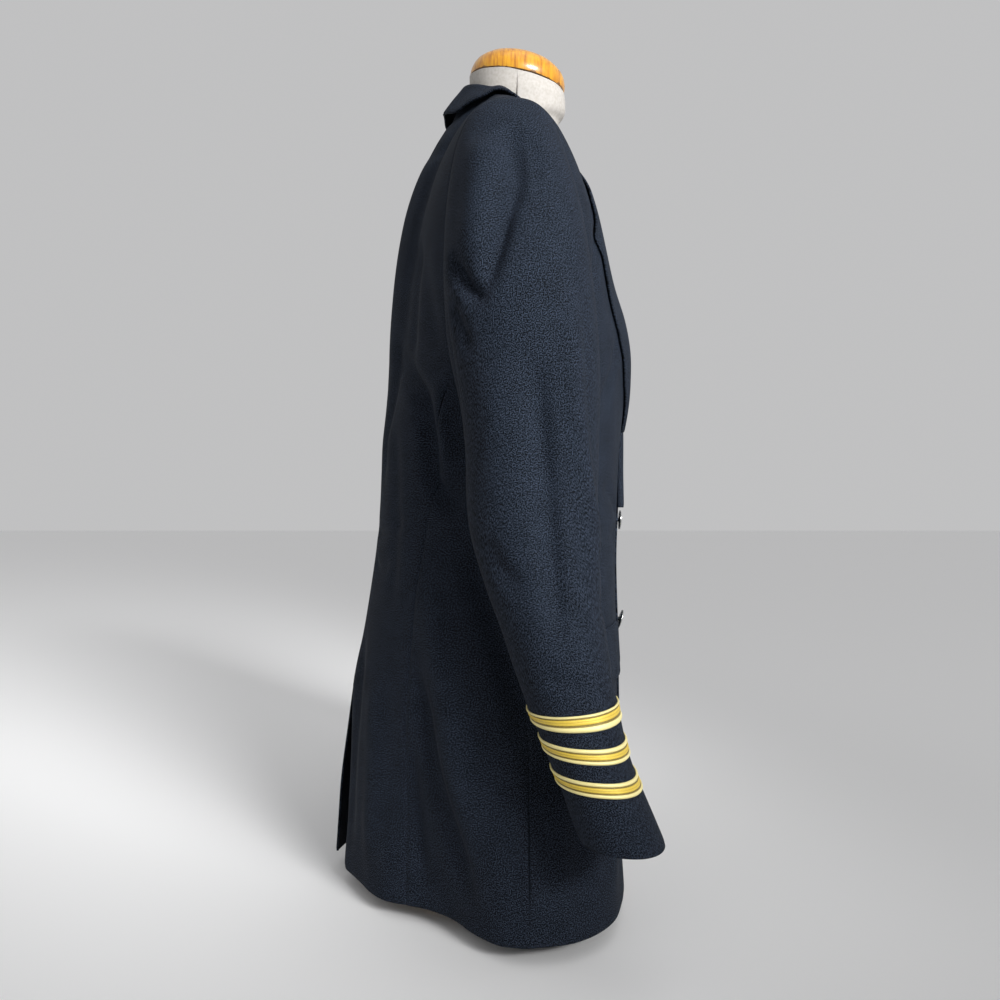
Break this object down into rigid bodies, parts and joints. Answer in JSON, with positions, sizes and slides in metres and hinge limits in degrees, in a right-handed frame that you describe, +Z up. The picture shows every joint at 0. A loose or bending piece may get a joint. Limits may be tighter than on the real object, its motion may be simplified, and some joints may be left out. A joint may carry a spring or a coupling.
{
  "type": "pilot uniform jacket on a dress form",
  "caption": "Dark tailored uniform jacket with notched lapels and gold cuff bands, worn by a limbless dress form with a wooden neck cap.",
  "frame": {"origin": "centre of the underside of the dress form's base plate, on the floor, under the jacket's middle", "axes": "+Z up, +X to the wearer's left, -Y the way the wearer faces, +Y to the back"},
  "size_m": [0.59, 0.3025, 0.8412],
  "materials": {
    "cloth": "navy-black worsted wool, matt",
    "braid": "woven metallic gold braid",
    "button": "nickel plated, satin",
    "calico": "off-white cotton cover, matt",
    "wood": "honey varnish, satin"
  },
  "bodies": {
    "root": {"back_right": "cloth", "back_left": "cloth", "side_right": "cloth", "side_left": "cloth", "front_right": "cloth", "front_left": "cloth", "lapel_right": "cloth", "lapel_left": "cloth", "collar": "cloth", "top_sleeve_right": "cloth", "top_sleeve_left": "cloth", "under_sleeve_right": "cloth", "under_sleeve_left": "cloth", "flap_right": "cloth", "flap_left": "cloth", "braid_right_1": "braid", "braid_right_2": "braid", "braid_right_3": "braid", "braid_left_1": "braid", "braid_left_2": "braid", "braid_left_3": "braid", "button_upper": "button", "button_lower": "button", "form_torso": "calico", "form_cap": "wood", "form_base": "wood"}
  },
  "joints": []
}
